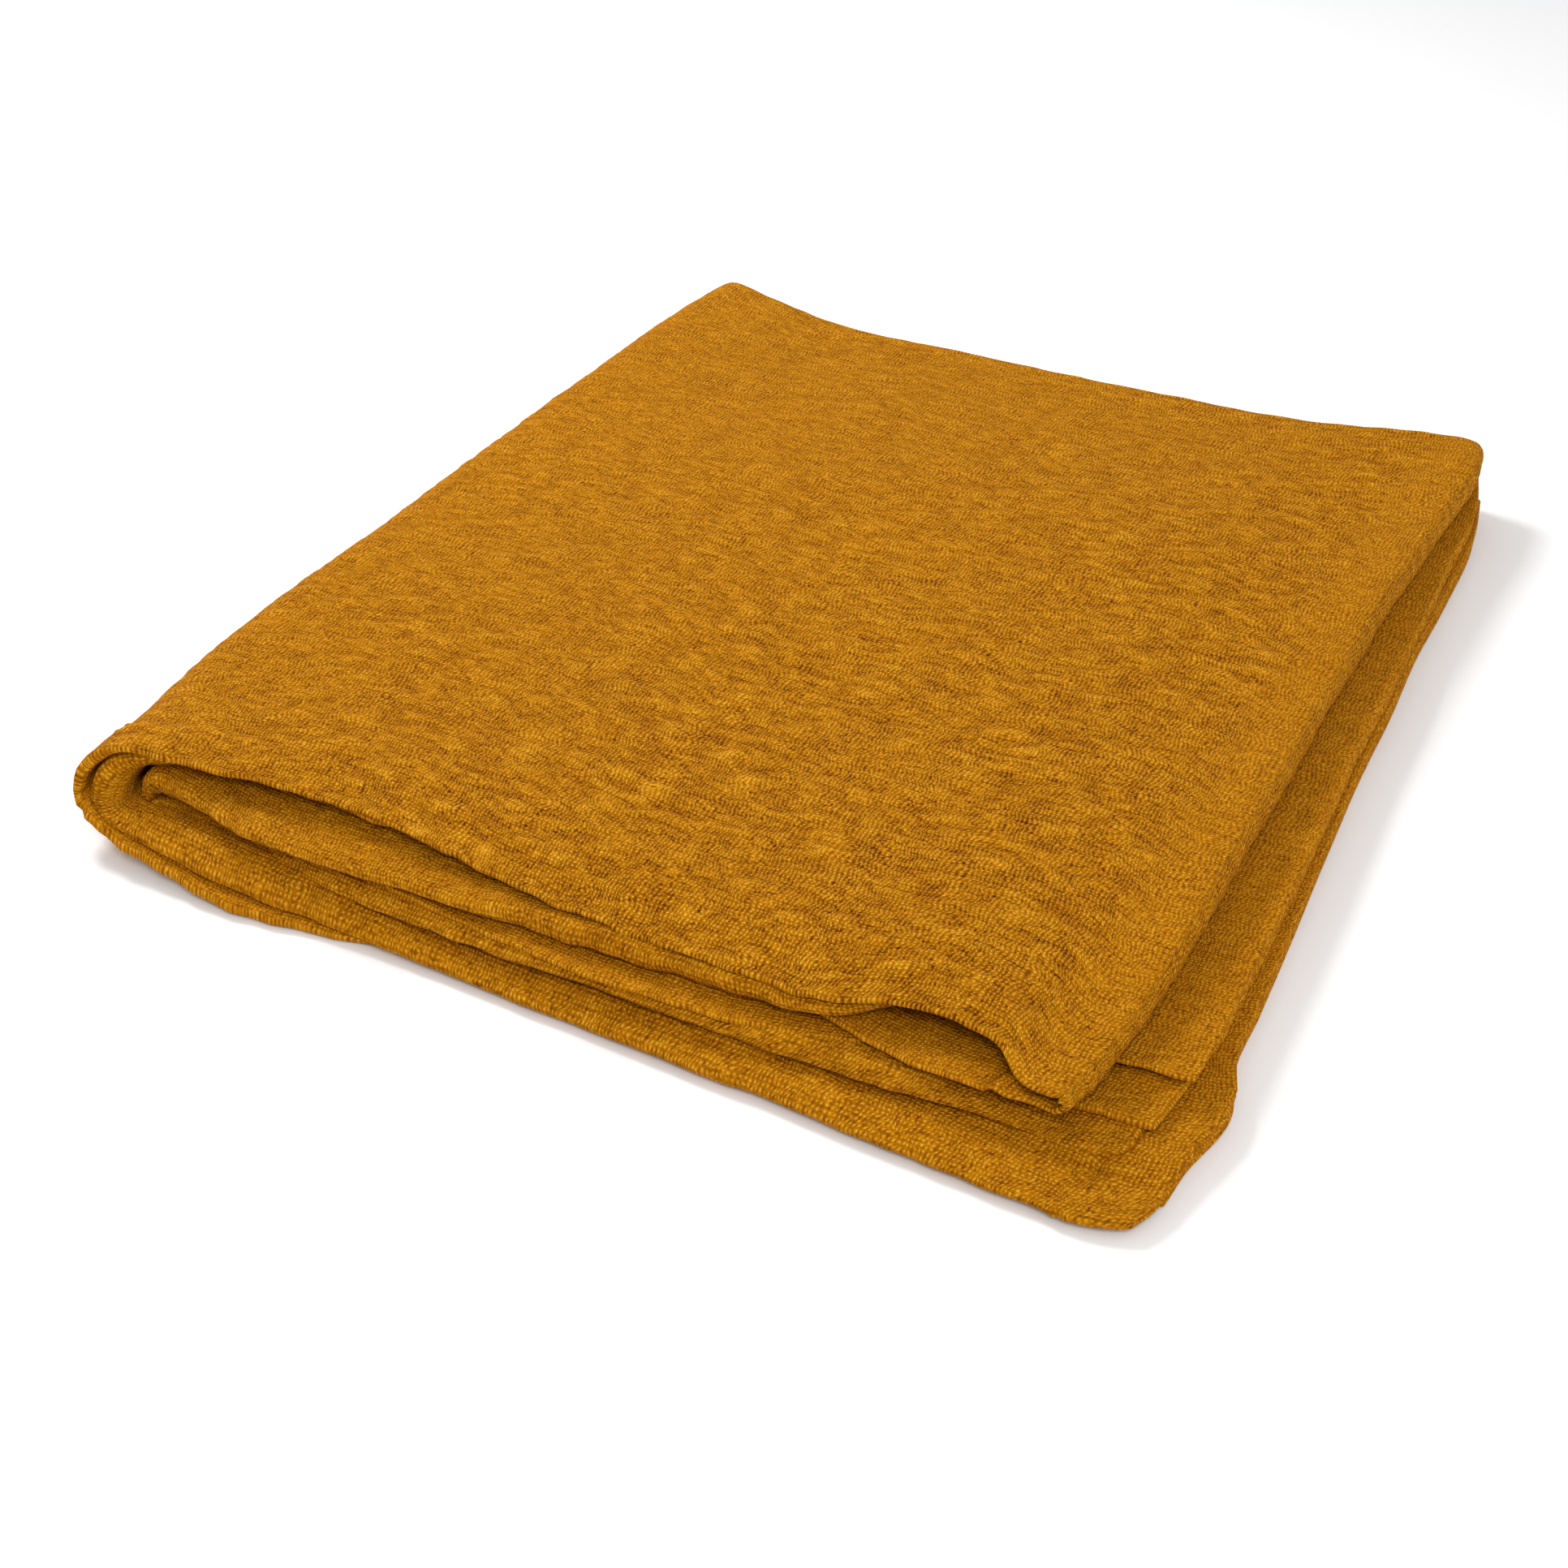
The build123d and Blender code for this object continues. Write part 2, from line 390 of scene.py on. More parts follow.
def cloth_mesh(name, points, half, s, t, halves):
    """A closed cloth: points is its middle surface, half is half its thickness, s and t are places on it."""
    n = normals(points)
    half = np.maximum(half, 0.05)[..., None]
    upper = points + n * half
    lower = points - n * half
    for side in (upper, lower):
        side[..., 2] = keep_in_half(side[..., 2], halves)
    rows, columns = points.shape[:2]
    count = rows * columns
    verts = np.concatenate([upper.reshape(-1, 3), lower.reshape(-1, 3)]) * MM
    grid = np.arange(count).reshape(rows, columns)
    a, b, c, d = grid[:-1, :-1], grid[1:, :-1], grid[1:, 1:], grid[:-1, 1:]
    top = np.stack([a, b, c, d], -1).reshape(-1, 4)
    bottom = np.stack([d, c, b, a], -1).reshape(-1, 4) + count
    ring = np.concatenate([grid[0, :-1], grid[:-1, -1], grid[-1, :0:-1], grid[:0:-1, 0]])
    after = np.roll(ring, -1)
    wall = np.stack([ring, after, after + count, ring + count], -1)
    faces = np.concatenate([top, bottom, wall])
    mesh = bpy.data.meshes.new(name)
    mesh.from_pydata(verts.tolist(), [], faces.tolist())
    flat = np.stack([s, t], -1).reshape(-1, 2) * MM
    flat = np.concatenate([flat, flat])
    layer = mesh.uv_layers.new(name="cloth")
    loops = np.zeros(len(mesh.loops), dtype=np.int32)
    mesh.loops.foreach_get("vertex_index", loops)
    layer.data.foreach_set("uv", flat[loops].astype(np.float32).ravel())
    mesh.polygons.foreach_set("use_smooth", np.ones(len(mesh.polygons), dtype=bool))
    mesh.update()
    piece = bpy.data.objects.new(name, mesh)
    bpy.context.scene.collection.objects.link(piece)
    return piece, upper, lower, n


def middle_surface(path, p, y, depth, droop):
    """The cloth's middle surface, from its places across and from front to back, once it has settled."""
    x, z = path(p[:, None], depth * UNIT, y)
    return settle(x, y, z - droop)


def cover_grid(p, line, fine):
    """Leaf 1, the outer fold at the back and the end of leaf 4."""
    front = front_line(p, **line)[:, None]
    tau = leaf_stations(fine)[None, :]
    leaf = front + (BACK_CENTRE - front) * tau
    turn = np.linspace(-math.pi / 2, math.pi / 2, 13)[1:]
    back = BACK_CENTRE + 3.0 * UNIT * np.cos(turn)[None, :] + 0 * front
    tail = BACK_CENTRE - steps((0, TAIL, 6))[None, 1:] + 0 * front
    y = np.concatenate([leaf, back, tail], 1)
    depth = np.concatenate([1 + 0 * leaf, 4 + 3 * np.sin(turn)[None, :] + 0 * back, 7 + 0 * tail], 1)
    return y, depth, front


def lining_grid(p, line, fine):
    """Leaf 2, the inner fold at the back and the end of leaf 3."""
    front = front_line(p, **line)[:, None]
    tau = leaf_stations(fine)[None, :]
    centre = BACK_CENTRE - 0.4 * UNIT
    leaf = front + (centre - front) * tau
    turn = np.linspace(-math.pi / 2, math.pi / 2, 9)[1:]
    back = centre + 1.0 * UNIT * np.cos(turn)[None, :] + 0 * front
    tail = centre - steps((0, TAIL, 6))[None, 1:] + 0 * front
    y = np.concatenate([leaf, back, tail], 1)
    depth = np.concatenate([3 + 0 * leaf, 4 + np.sin(turn)[None, :] + 0 * back, 5 + 0 * tail], 1)
    return y, depth, front


def loop_grid(p, line, fine, fold):
    """Leaf 4, the front fold and leaf 3.

    fold says, along p, how far the fold swells on its leaf 3 side (low) and its leaf 4 side (high), how far it
    comes forward (reach), and how far its leaf 4 side leans back (slump), or its leaf 3 side where slump is
    negative.
    """
    front = front_line(p, **line)[:, None]
    low = 5 - fold.low[:, None]
    high = 7 + fold.high[:, None]
    reach = fold.reach[:, None]
    slump = fold.slump[:, None]
    end = BACK_CENTRE - TAIL + LAP
    near = steps((0, 30, 14), (30, 390, int(360 / fine)))[None, :] / 390
    run = front + reach + (end - front - reach) * near
    open_up = 1 - smooth(run - front, 4, 30)
    lower = 5 + (low - 5) * open_up
    upper = 7 + (high - 7) * open_up
    turn = np.linspace(-math.pi / 2, math.pi / 2, 17)[1:-1][None, :]
    bend_depth = (low + high) / 2 + (high - low) / 2 * np.sin(turn)
    bend_y = front + reach * (1 - np.cos(turn))
    depth = np.concatenate([upper[:, ::-1], bend_depth[:, ::-1], lower], 1)
    y = np.concatenate([run[:, ::-1], bend_y[:, ::-1], run], 1)
    lean = np.clip((depth - low) / (high - low), 0, 1)
    lean = np.where(slump < 0, 1 - lean, lean) ** 1.4
    y = y + np.abs(slump) * lean * (1 - smooth(y - front, 2, 60))
    return y, depth, front


def lengths(points):
    """Distances along the cloth both ways, the same for a whole line so that the ribs run straight."""
    ds = np.linalg.norm(np.diff(points, axis=0), axis=-1).mean(1)
    dt = np.linalg.norm(np.diff(points, axis=1), axis=-1).mean(0)
    s = np.concatenate([[0], np.cumsum(ds)])[:, None] + np.zeros(points.shape[:2])
    t = np.concatenate([[0], np.cumsum(dt)])[None, :] + np.zeros(points.shape[:2])
    return s, t


# ---------------------------------------------------------------- materials

def screen_colour(r, g, b):
    """A colour given as seen on a screen, 0 to 255, made linear."""
    out = [c / 12.92 if c <= 0.04045 else ((c + 0.055) / 1.055) ** 2.4 for c in (r / 255, g / 255, b / 255)]
    return (*out, 1.0)


class Nodes:
    """Short names for making a material's nodes."""

    def __init__(self, name):
        self.material = bpy.data.materials.new(name)
        self.material.use_nodes = True
        self.tree = self.material.node_tree
        self.tree.nodes.clear()

    def add(self, kind, **settings):
        node = self.tree.nodes.new(kind)
        for key, value in settings.items():
            setattr(node, key, value)
        return node

    def feed(self, socket, value):
        if isinstance(value, bpy.types.NodeSocket):
            self.tree.links.new(value, socket)
        else:
            socket.default_value = value

    def math(self, operation, a, b=0.0, clamp=False):
        node = self.add("ShaderNodeMath", operation=operation, use_clamp=clamp)
        self.feed(node.inputs[0], a)
        self.feed(node.inputs[1], b)
        return node.outputs[0]

    def noise(self, vector, scale, detail=2.0, rough=0.5):
        node = self.add("ShaderNodeTexNoise")
        self.feed(node.inputs["Vector"], vector)
        node.inputs["Scale"].default_value = scale
        node.inputs["Detail"].default_value = detail
        node.inputs["Roughness"].default_value = rough
        return node.outputs["Fac"]

    def mix(self, factor, a, b):
        node = self.add("ShaderNodeMix", data_type="RGBA")
        self.feed(node.inputs[0], factor)
        self.feed(node.inputs[6], a)
        self.feed(node.inputs[7], b)
        return node.outputs[2]


RIB_PITCH = 1.3
THREAD_PITCH = 1.15


def gauze(name, rib_depth=0.42, light=(238, 176, 48), mid=(186, 117, 4), dark=(80, 20, 2)):
    """Crinkled double gauze: ribs from front to back, cross threads, and puckers with creases between; the
    creases and the puckers' hollows carry painted shade and their crests painted light.
    """
    m = Nodes(name)
    uv = m.add("ShaderNodeUVMap", uv_map="cloth")
    scaled = m.add("ShaderNodeVectorMath", operation="SCALE")
    m.feed(scaled.inputs[0], uv.outputs[0])
    scaled.inputs["Scale"].default_value = 1000.0
    place = scaled.outputs[0]
    split = m.add("ShaderNodeSeparateXYZ")
    m.feed(split.inputs[0], place)
    s, t = split.outputs[0], split.outputs[1]
    # pucker is the puckers' height, which the tone below turns into painted light and shade; crimp is how much
    # the cloth puckers there
    pucker = m.add("ShaderNodeAttribute", attribute_name="pucker").outputs["Fac"]
    crimp = m.add("ShaderNodeAttribute", attribute_name="crimp").outputs["Fac"]

    # narrow creases between pillows that are longer across the width: a dent in the bump, and painted shade in
    # the colour
    stretch = m.add("ShaderNodeVectorMath", operation="MULTIPLY")
    m.feed(stretch.inputs[0], place)
    stretch.inputs[1].default_value = (0.095, 0.23, 1.0)
    swell = m.math("SUBTRACT", m.noise(stretch.outputs[0], 1.0, 2.0, 0.5), 0.5)
    pillow = m.math("ABSOLUTE", swell)
    crease = m.math("SUBTRACT", 1.0, m.math("MULTIPLY", pillow, 13.0), clamp=True)
    crease = m.math("MULTIPLY", crease, m.math("ADD", 0.35, m.math("MULTIPLY", crimp, 0.55)))
    plump = m.math("MINIMUM", m.math("MULTIPLY", pillow, 6.0), 1.0)

    # ribs and cross threads
    sway = m.math("MULTIPLY", m.math("SUBTRACT", m.noise(place, 0.05, 2.0), 0.5), 7.0)
    shake = m.math("MULTIPLY", m.math("SUBTRACT", m.noise(place, 0.30, 2.0), 0.5), 0.8)
    rib_place = m.math("ADD", m.math("ADD", s, sway), m.math("ADD", shake, m.math("MULTIPLY", swell, 3.5)))
    rib = m.math("SINE", m.math("MULTIPLY", rib_place, 2 * math.pi / RIB_PITCH))
    thread = m.math("SINE", m.math("MULTIPLY", m.math("ADD", t, shake), 2 * math.pi / THREAD_PITCH))
    strength = m.math("ADD", m.math("MULTIPLY", m.noise(place, 0.06, 2.0), 0.9), 0.35)
    strength = m.math("MULTIPLY", strength, m.math("ADD", 0.72, m.math("MULTIPLY", crimp, 0.35)))
    broken = m.math("ADD", 0.58, m.math("MULTIPLY", thread, 0.42))
    rib = m.math("MULTIPLY", m.math("MULTIPLY", rib, strength), broken)
    grain = m.math("SUBTRACT", m.noise(place, 0.9, 3.0, 0.7), 0.5)
    small = m.math("SUBTRACT", m.noise(place, 0.34, 3.0, 0.6), 0.5)

    height = m.math("MULTIPLY", rib, 0.54)
    height = m.math("ADD", height, m.math("MULTIPLY", thread, 0.22))
    height = m.math("ADD", height, m.math("MULTIPLY", grain, 1.8))
    height = m.math("ADD", height, m.math("MULTIPLY", small, 1.6))
    height = m.math("ADD", height, m.math("MULTIPLY", plump, m.math("MULTIPLY", crimp, 1.3)))
    bump = m.add("ShaderNodeBump")
    bump.inputs["Strength"].default_value = 1.0
    bump.inputs["Distance"].default_value = rib_depth * MM
    m.feed(bump.inputs["Height"], height)

    tone = m.math("ADD", 0.52, m.math("MULTIPLY", rib, 0.36))
    tone = m.math("ADD", tone, m.math("MULTIPLY", thread, 0.09))
    tone = m.math("ADD", tone, m.math("MULTIPLY", grain, 1.3))
    tone = m.math("ADD", tone, m.math("MULTIPLY", small, 0.35))
    # painted light and shade: lighter on the puckers' crests and darker in their hollows
    tone = m.math("ADD", tone, m.math("MULTIPLY", pucker, 0.20))
    # painted shade: the tone is darker along the creases, the more so where the cloth puckers more
    tone = m.math("SUBTRACT", tone, m.math("MULTIPLY", crease, 0.21))
    ramp = m.add("ShaderNodeValToRGB")
    ramp.color_ramp.elements[0].position = 0.0
    ramp.color_ramp.elements[0].color = screen_colour(*dark)
    ramp.color_ramp.elements[1].position = 1.0
    ramp.color_ramp.elements[1].color = screen_colour(*light)
    centre = ramp.color_ramp.elements.new(0.55)
    centre.color = screen_colour(*mid)
    m.feed(ramp.inputs[0], tone)

    shader = m.add("ShaderNodeBsdfPrincipled")
    m.feed(shader.inputs["Base Color"], ramp.outputs[0])
    shader.inputs["Roughness"].default_value = 0.95
    shader.inputs["Specular IOR Level"].default_value = 0.06
    shader.inputs["Sheen Weight"].default_value = 0.04
    shader.inputs["Sheen Roughness"].default_value = 0.5
    shader.inputs["Sheen Tint"].default_value = screen_colour(238, 180, 60)
    m.feed(shader.inputs["Normal"], bump.outputs[0])
    output = m.add("ShaderNodeOutputMaterial")
    m.feed(output.inputs[0], shader.outputs[0])
    return m.material


def thread_material(name):
    """Twisted sewing thread, a little darker and smoother than the cloth."""
    m = Nodes(name)
    place = m.add("ShaderNodeTexCoord").outputs["Object"]
    twist = m.noise(place, 2500.0, 2.0)
    shader = m.add("ShaderNodeBsdfPrincipled")
    m.feed(shader.inputs["Base Color"], m.mix(twist, screen_colour(140, 84, 6), screen_colour(190, 122, 10)))
    shader.inputs["Roughness"].default_value = 0.8
    shader.inputs["Specular IOR Level"].default_value = 0.2
    output = m.add("ShaderNodeOutputMaterial")
    m.feed(output.inputs[0], shader.outputs[0])
    return m.material


GAUZE = gauze("gauze_cloth")
THREAD = thread_material("sewing_thread")


# ---------------------------------------------------------------- camera, floor and light

def make_camera():
    """Looks down on the stack from its front, a little to its right."""
    azimuth = math.radians(24.5)
    pitch = math.radians(34.5)
    roll = math.radians(1.6)
    level = math.cos(pitch)
    forward = Vector((-math.sin(azimuth) * level, math.cos(azimuth) * level, -math.sin(pitch)))
    right = Vector((math.cos(azimuth), math.sin(azimuth), 0))
    up = right.cross(forward)
    side = right * math.cos(roll) + up * math.sin(roll)
    top = up * math.cos(roll) - right * math.sin(roll)
    data = bpy.data.cameras.new("camera")
    data.sensor_width = 36.0
    data.lens = 49.66
    data.clip_start = 0.01
    camera = bpy.data.objects.new("camera", data)
    place = Matrix((side, top, -forward)).transposed().to_4x4()
    place.translation = (0.2318, -0.5748, 0.376)
    camera.matrix_world = place
    bpy.context.scene.collection.objects.link(camera)
    bpy.context.scene.camera = camera


def area_light(name, place, size, power):
    """A round lamp that points at the stack."""
    data = bpy.data.lights.new(name, "AREA")
    data.shape = "DISK"
    data.size = size
    data.energy = power
    lamp = bpy.data.objects.new(name, data)
    lamp.location = place
    lamp.rotation_euler = (-Vector(place)).to_track_quat("-Z", "Y").to_euler()
    bpy.context.scene.collection.objects.link(lamp)


def make_stage():
    """A pale floor, a white studio and three soft lamps."""
    bpy.context.scene.view_settings.view_transform = "Standard"
    mesh = bpy.data.meshes.new("floor")
    reach = 6.0
    corners = [(-reach, -reach, 0), (reach, -reach, 0), (reach, reach, 0), (-reach, reach, 0)]
    mesh.from_pydata(corners, [], [(0, 1, 2, 3)])
    floor = bpy.data.objects.new("floor", mesh)
    floor.location.z = -0.0004
    bpy.context.scene.collection.objects.link(floor)
    m = Nodes("floor_paper")
    shader = m.add("ShaderNodeBsdfPrincipled")
    tone = m.noise(m.add("ShaderNodeTexCoord").outputs["Object"], 3.0)
    m.feed(shader.inputs["Base Color"], m.mix(tone, (0.92, 0.92, 0.92, 1), (0.95, 0.95, 0.95, 1)))
    shader.inputs["Roughness"].default_value = 0.9
    output = m.add("ShaderNodeOutputMaterial")
    m.feed(output.inputs[0], shader.outputs[0])
    mesh.materials.append(m.material)
    world = bpy.data.worlds.new("studio")
    world.use_nodes = True
    world.node_tree.nodes["Background"].inputs[0].default_value = (1.0, 1.0, 1.0, 1)
    world.node_tree.nodes["Background"].inputs[1].default_value = 0.65
    bpy.context.scene.world = world
    area_light("key", (-0.85, 0.3, 0.95), 0.4, 11.6)
    area_light("front", (0.4, -0.9, 1.05), 0.4, 4.8)
    area_light("right", (1.2, -0.35, 0.5), 0.8, 2.4)


make_camera()
make_stage()


# ---------------------------------------------------------------- the six cloths

FINE = 1.9
COARSE = 4.2
OUTER_RUN = 314.0           # length of the bottom panel's leaves, from their free edge to the left fold
INNER_RUN = 308.0           # the same in the second panel
THIRD_RUN = 272.0           # length of the third panel's leaves
TOP_RUN = 292.0             # length of the top panel's leaves


def clear_of_crease(share, gap):
    """No row of a left fold lies at the crease, so that the fold opens out flat there."""
    return share[np.abs(share - 0.5) > gap]


def outer_stations(fine_bottom, fine_top):
    """Places across an outer piece: bottom panel, left fold, top panel, right fold and tail."""
    return np.concatenate([
        side_stations(OUTER_RUN, fine_bottom),
        1 + clear_of_crease(steps((0, 1, 20)), 0.02)[:-1],
        2 + steps((0, 1, int(TOP_RUN / fine_top)))[:-1],
        3 + steps((0, 1, 12))[:-1],
        4 + steps((0, 1, 6)),
    ])


def inner_stations(fine_third, fine_second):
    """Places across an inner piece: third panel, inner left fold, and second panel to its side edge."""
    return np.concatenate([
        side_stations(THIRD_RUN, fine_third, edge=False),
        1 + clear_of_crease(steps((0, 1, 14)), 0.10),
        (3 - side_stations(INNER_RUN, fine_second))[::-1],
    ])


def thickness(front_distance, side_distance, ends, extra=0.0):
    """Half the cloth's thickness: thick along hems, drawn in along their stitching, thin where it laps."""
    half = CLOTH / 2 + np.zeros(np.broadcast_shapes(front_distance.shape, side_distance.shape))
    for distance in (front_distance, side_distance):
        hem = 1 - smooth(distance, HEM_WIDTH - 1.6, HEM_WIDTH)
        half = np.maximum(half, CLOTH / 2 + hem * (HEM_THICKNESS + extra - CLOTH) / 2)
    for distance in (front_distance, side_distance):
        half = half - 0.38 * hump(distance, STITCH_INSET, 1.1)
    for distance in (front_distance, side_distance):
        half = half * round_end(distance, 1.4)
    return half * ends


def make_piece(name, base, front_distance, side_distance, ends, pucker_scale, halves, extra=0.0):
    """Thickens and crinkles a cloth whose middle surface is base.

    The distances are from its hemmed edges, ends is where it thins out, and halves is -1 where it lies in the
    lower half and 1 where it lies in the upper half, which keeps it on that side of the plane between the
    halves.
    """
    s, t = lengths(base)
    height = crinkle(s, t) * pucker_scale
    points = base + normals(base) * height[..., None]
    half = thickness(front_distance, side_distance, ends, extra)
    # the cloth that lies on the floor is flat there
    points[..., 2] = np.maximum(points[..., 2], half * 1.02)
    piece, upper, lower, out = cloth_mesh(name, points, half, s, t, halves)
    crimp = (pucker_scale + 0 * height).ravel()
    # pucker hands the puckers' height to the material, for painted light on their crests and painted shade in
    # their hollows
    pucker = height.ravel() / 0.9
    for attribute_name, above, below in (("crimp", crimp, crimp), ("pucker", pucker, -pucker)):
        attribute = piece.data.attributes.new(attribute_name, "FLOAT", "POINT")
        attribute.data.foreach_set("value", np.concatenate([above, below]).astype(np.float32))
    piece.data.materials.append(GAUZE)
    return SimpleNamespace(piece=piece, upper=upper, lower=lower, out=out)


def thin_end(y):
    """1 along a cloth, and thin over its last stations, where the next cloth covers it."""
    columns = np.arange(y.shape[1])[None, :]
    return 1 - 0.92 * smooth(columns, y.shape[1] - 3.0, y.shape[1] - 1.0)


def outer_front_fold(p):
    """The shape of the front fold of the bottom and top panels, along p."""
    return SimpleNamespace(
        low=curve(p, [(0, 2.4), (0.06, 3.0), (0.2, 3.6), (0.7, 3.4), (0.85, 1.6), (1, 0.9), (1.5, 0.7),
                      (2, 0.8), (2.4, 0.8), (5, 0.6)]),
        high=curve(p, [(0, -2.4), (0.12, -1.6), (0.3, 0.2), (0.7, 0.5), (0.82, 3.0), (0.92, 5.2), (1, 5.0),
                       (1.2, 5.0), (1.5, 5.0), (1.8, 3.6), (2, 1.6), (2.1, 0.4), (5, 0.4)]),
        slump=curve(p, [(0, 3.0), (0.1, 4.0), (0.5, 5.0), (0.85, 7.0), (1.2, 4.0), (2, 2.0), (5, 1.0)]),
        reach=curve(p, [(0, 3.0), (0.1, 4.6), (1, 5.0), (2, 3.0), (5, 2.5)]),
    )


def inner_front_fold(p):
    """The shape of the front fold of the third and second panels, along p."""
    slump = curve(p, [(0, -4.0), (0.3, -3.5), (0.8, -3.5), (0.95, -1.5), (1.5, -0.5), (2.0, -1.0),
                      (2.3, -4.0), (2.8, -3.0), (2.9, -1.0), (3, -0.5)])
    return SimpleNamespace(
        low=curve(p, [(0, 0.5), (0.12, 0.8), (0.2, 4.0), (0.9, 4.3), (1, 4.2), (1.4, 3.4), (2, 1.8),
                      (2.2, 3.0), (2.78, 3.0), (2.9, 0.4), (3, 0.2)]),
        high=curve(p, [(0, 0.2), (1, 0.3), (2, 0.3), (2.8, 0.3), (2.9, 0.9), (3, 0.9)]),
        slump=-np.abs(slump),
        reach=curve(p, [(0, 2.0), (0.4, 3.6), (2, 3.6), (2.3, 4.4), (2.9, 4.0), (3, 3.4)]),
    )


def build_outer(name, grid, line, bottom_fine, top_fine, leaf_fine, pucker):
    """One cloth of the bottom panel, the left fold, the top panel and the right fold."""
    p = outer_stations(bottom_fine, top_fine)
    is_loop = grid is loop_grid
    extra = 0.0
    if is_loop:
        y, depth, front = loop_grid(p, line, leaf_fine, outer_front_fold(p))
        # the bottom panel's side hem shows as a groove where the front fold runs over it
        groove = hump(p * OUTER_RUN, HEM_WIDTH, 2.0) * (p < 1)
        depth = depth - 1.5 * groove[:, None] * (1 - smooth(y - front, 12, 34)) * smooth(depth, 4.0, 6.0)
    else:
        y, depth, front = grid(p, line, leaf_fine)
    if grid is cover_grid:
        # the hem is rolled thicker round the left fold
        nose = smooth(p, 0.72, 0.86) * (1 - smooth(p, 1.75, 2.0))
        extra = 1.5 * nose[:, None]
        depth = depth + 0.75 * nose[:, None] * (1 - smooth(y - front, 20, 70)) * (depth < 3.5)

    hemmed = (depth < 3.5) & (not is_loop)
    front_distance = np.where(hemmed, y - front, FAR)
    side_distance = np.where(p < 1, p * OUTER_RUN, FAR)[:, None]
    tail = smooth((p - 4) * TAIL, TAIL - LAP, TAIL) * 0.92
    ends = (1 + 0 * y) * np.where(p > 4, 1 - tail, 1.0)[:, None]
    if not is_loop:
        ends = ends * thin_end(y)

    # the top panel puckers most, and more towards its front right corner
    panel = np.select([p < 1, p < 2, p < 3, p < 4], [0.15, 0.15 + 0.85 * smooth(p, 1.1, 2.0), 1.0, 0.6], 0.3)
    panel = panel * (1 - 0.62 * smooth(p, 2.93, 2.97) * (p < 3.2))
    x, z = outer_path(p[:, None], depth * UNIT, y)
    scale = pucker * panel[:, None] * (0.55 + 0.55 * smooth(x - 0.7 * y, -190, 190))
    if is_loop:
        bulge = 1 - smooth(y - front, 10, 40)
        scale = scale * (1 - bulge) + 0.45 * pucker * bulge

    # the top panel's front edge droops, its outermost leaf the most
    flap = front_line(p, **OUTER_HEM)[:, None]
    share = np.select([depth < 2.1, depth < 4], [1.0, 0.93], 0.7)
    droop = flap_droop(x, y, flap) * smooth(z, MIDDLE + 4, HEIGHT - 2) * share * (p[:, None] > 1.3)
    base = middle_surface(outer_path, p, y, depth, droop)
    halves = np.where(p < 1.5, -1, 1)[:, None]
    made = make_piece(name, base, front_distance, side_distance, ends, scale, halves, extra)
    made.p, made.y, made.front, made.depth = p, y, front, depth
    return made


def build_inner(name, grid, line, third_fine, second_fine, leaf_fine, pucker):
    """One cloth of the third panel, the inner left fold and the second panel."""
    p = inner_stations(third_fine, second_fine)
    is_loop = grid is loop_grid
    if is_loop:
        y, depth, front = loop_grid(p, line, leaf_fine, inner_front_fold(p))
    else:
        y, depth, front = grid(p, line, leaf_fine)
    hemmed = (depth < 3.5) & (depth > 0.5) & (not is_loop)
    front_distance = np.where(hemmed, y - front, FAR)
    side_distance = np.where(p > 2, (3 - p) * INNER_RUN, FAR)[:, None]
    ends = 1 + 0 * y
    scale = 0.35 * pucker * ends
    if is_loop:
        scale = scale * (1 + 0.6 * (1 - smooth(y - front, 10, 40)))
    else:
        ends = ends * thin_end(y)
    extra = 0.7 if grid is lining_grid else 0.0
    base = middle_surface(inner_path, p, y, depth, 0.0)
    halves = np.where(p < 1.5, 1, -1)[:, None]
    made = make_piece(name, base, front_distance, side_distance, ends, scale, halves, extra)
    made.p, made.y, made.front, made.depth = p, y, front, depth
    return made


cover = build_outer("outer_cover", cover_grid, OUTER_HEM, COARSE * 1.6, FINE * 1.38, FINE, 1.0)
loop = build_outer("outer_loop", loop_grid, OUTER_LOOP, FINE * 1.2, COARSE * 1.8, COARSE * 2.2, 0.9)
lining = build_outer("outer_lining", lining_grid, OUTER_LINING, COARSE, COARSE * 2, COARSE * 2, 0.3)
inner_cover = build_inner("inner_cover", cover_grid, INNER_HEM, COARSE, COARSE, COARSE * 1.5, 0.9)
inner_loop = build_inner("inner_loop", loop_grid, INNER_LOOP, FINE * 1.3, FINE * 1.3, COARSE * 2.2, 0.9)
inner_lining = build_inner("inner_lining", lining_grid, INNER_LINING, COARSE, COARSE, COARSE * 2, 0.3)
CLOTHS = (cover, loop, lining, inner_cover, inner_loop, inner_lining)


def join(piece):
    """Bakes the piece's placing into its mesh."""
    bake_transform(piece)


for cloth in CLOTHS:
    join(cloth.piece)


# ---------------------------------------------------------------- stitching

STITCH_LOWEST = 0.35        # stitches never reach the floor


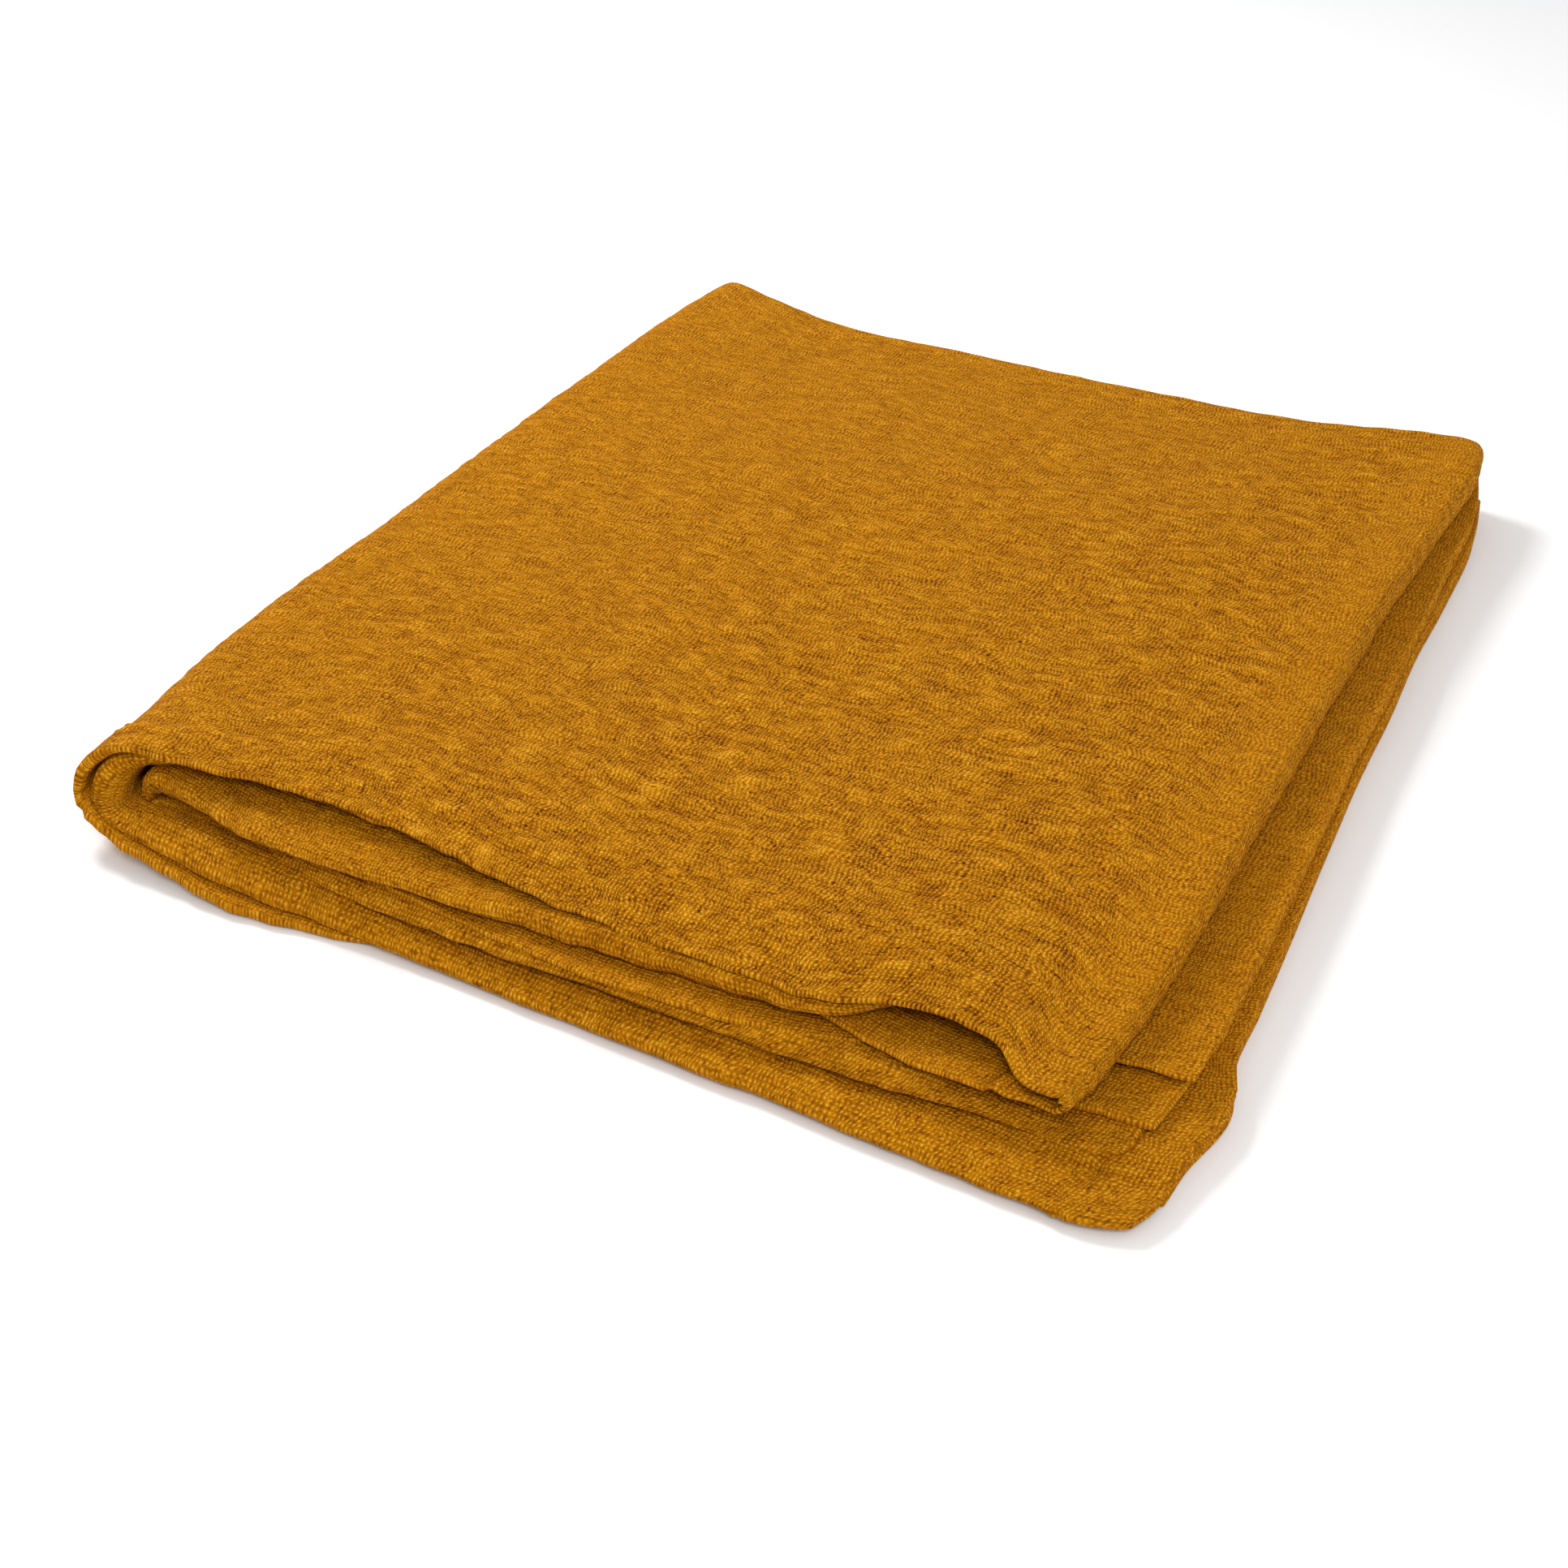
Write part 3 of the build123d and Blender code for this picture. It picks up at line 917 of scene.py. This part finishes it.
def dashes(name, line, up, pitch=4.2, length=2.6, radius=0.22):
    """Short stitches end to end along a line of points, each lying in its dimple."""
    step = np.linalg.norm(np.diff(line, axis=0), axis=1)
    run = np.concatenate([[0], np.cumsum(step)])
    verts, faces = [], []
    # each ring of a stitch: its place along, its share of the radius, and its height
    rings = [(-0.5, 0.15, -0.30), (-0.32, 0.85, -0.06), (0.0, 1.0, 0.05), (0.32, 0.85, -0.06),
             (0.5, 0.15, -0.30)]
    sides = 6
    for k in range(int(run[-1] / pitch)):
        at = (k + 0.5) * pitch
        tips = np.interp([at - length, at + length], run, line[:, 2])
        if min(tips) < MIDDLE < max(tips):
            # no stitch lies across the crease of the book fold
            continue
        for along, thick, rise in rings:
            here = at + along * length
            point = np.array([np.interp(here, run, line[:, i]) for i in range(3)])
            ahead = np.array([np.interp(here + 0.5, run, line[:, i]) for i in range(3)])
            behind = np.array([np.interp(here - 0.5, run, line[:, i]) for i in range(3)])
            forward = (ahead - behind) / max(np.linalg.norm(ahead - behind), 1e-6)
            lift = np.array([np.interp(here, run, up[:, i]) for i in range(3)])
            lift = lift / np.linalg.norm(lift)
            side = np.cross(forward, lift)
            for j in range(sides):
                a = 2 * math.pi * j / sides
                offset = side * math.cos(a) * 1.2 + lift * math.sin(a)
                verts.append((point + lift * (rise + 0.10) + offset * radius * thick) * MM)
        first = len(verts) - len(rings) * sides
        for r in range(len(rings) - 1):
            for j in range(sides):
                a = first + r * sides + j
                b = first + r * sides + (j + 1) % sides
                faces.append((a, b, b + sides, a + sides))
        faces.append(tuple(first + j for j in reversed(range(sides))))
        last = first + (len(rings) - 1) * sides
        faces.append(tuple(last + j for j in range(sides)))
    mesh = bpy.data.meshes.new(name)
    mesh.from_pydata([tuple(v) for v in verts], [], faces)
    mesh.polygons.foreach_set("use_smooth", np.ones(len(mesh.polygons), dtype=bool))
    piece = bpy.data.objects.new(name, mesh)
    bpy.context.scene.collection.objects.link(piece)
    piece.data.materials.append(THREAD)
    return piece


def front_seam(cloth, upper_side=True):
    """The line a set distance inside a front hem, and which way is out."""
    surface = cloth.upper if upper_side else cloth.lower
    count = int((cloth.depth[0] < 1.5).sum())
    line, out = [], []
    for row in range(len(cloth.p)):
        inset = cloth.y[row, :count] - cloth.front[row]
        line.append([np.interp(STITCH_INSET, inset, surface[row, :count, i]) for i in range(3)])
        out.append([np.interp(STITCH_INSET, inset, cloth.out[row, :count, i]) for i in range(3)])
    sign = 1 if upper_side else -1
    line = np.array(line)
    # clear of the floor, and in the upper half clear of the plane between the halves
    lowest = np.where(upper_side & (cloth.p > 2), MIDDLE + 0.5, STITCH_LOWEST)
    line[:, 2] = np.maximum(line[:, 2], lowest)
    return line, sign * np.array(out)


def side_seam(cloth, run, from_start):
    """The line a set distance inside a free side edge, and which way is out."""
    inset = cloth.p * run if from_start else (3 - cloth.p[::-1]) * run
    rows = slice(None) if from_start else slice(None, None, -1)
    keep = inset < 60
    surface = cloth.upper[rows][keep]
    normal = cloth.out[rows][keep]
    inset = inset[keep]
    line, out = [], []
    for column in range(surface.shape[1]):
        line.append([np.interp(STITCH_INSET, inset, surface[:, column, i]) for i in range(3)])
        out.append([np.interp(STITCH_INSET, inset, normal[:, column, i]) for i in range(3)])
    line = np.array(line)
    line[:, 2] = np.maximum(line[:, 2], STITCH_LOWEST)
    return line, np.array(out)


outer_front = dashes("outer_front_stitching", *front_seam(cover))
join(outer_front)
inner_front = dashes("inner_front_stitching", *front_seam(inner_cover, upper_side=False))
join(inner_front)
outer_side = dashes("outer_side_stitching", *side_seam(cover, OUTER_RUN, True))
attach(outer_side, "lower_half")
inner_side = dashes("inner_side_stitching", *side_seam(inner_cover, INNER_RUN, False))
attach(inner_side, "lower_half")


# ---------------------------------------------------------------- the CAD parts that the pieces stand for are hidden

def nodes(panels, *endings):
    return [f"{panel}_{ending}" for panel in panels for ending in endings]


OUTER = ("bottom_panel", "top_panel")
INNER = ("second_panel", "third_panel")
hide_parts(*nodes(OUTER, "leaf_1", "back_fold_outer", "front_hems"), "bottom_panel_side_hems",
            "left_fold_outer_1", "right_fold_1")
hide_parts(*nodes(OUTER, "leaf_3", "leaf_4", "front_fold"), "left_fold_outer_3",
            "left_fold_outer_4", "right_fold_3", "right_fold_4")
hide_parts(*nodes(OUTER, "leaf_2", "back_fold_inner"), "left_fold_outer_2", "right_fold_2")
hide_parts(*nodes(INNER, "leaf_1", "back_fold_outer", "front_hems"),
            "second_panel_side_hems", "left_fold_inner_1")
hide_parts(*nodes(INNER, "leaf_3", "leaf_4", "front_fold"), "left_fold_inner_3",
            "left_fold_inner_4")
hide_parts(*nodes(INNER, "leaf_2", "back_fold_inner"), "left_fold_inner_2")
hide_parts(*nodes(OUTER, "front_hem_stitching"))
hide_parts(*nodes(INNER, "front_hem_stitching"))
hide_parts("bottom_panel_side_hem_stitching")
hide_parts("second_panel_side_hem_stitching")
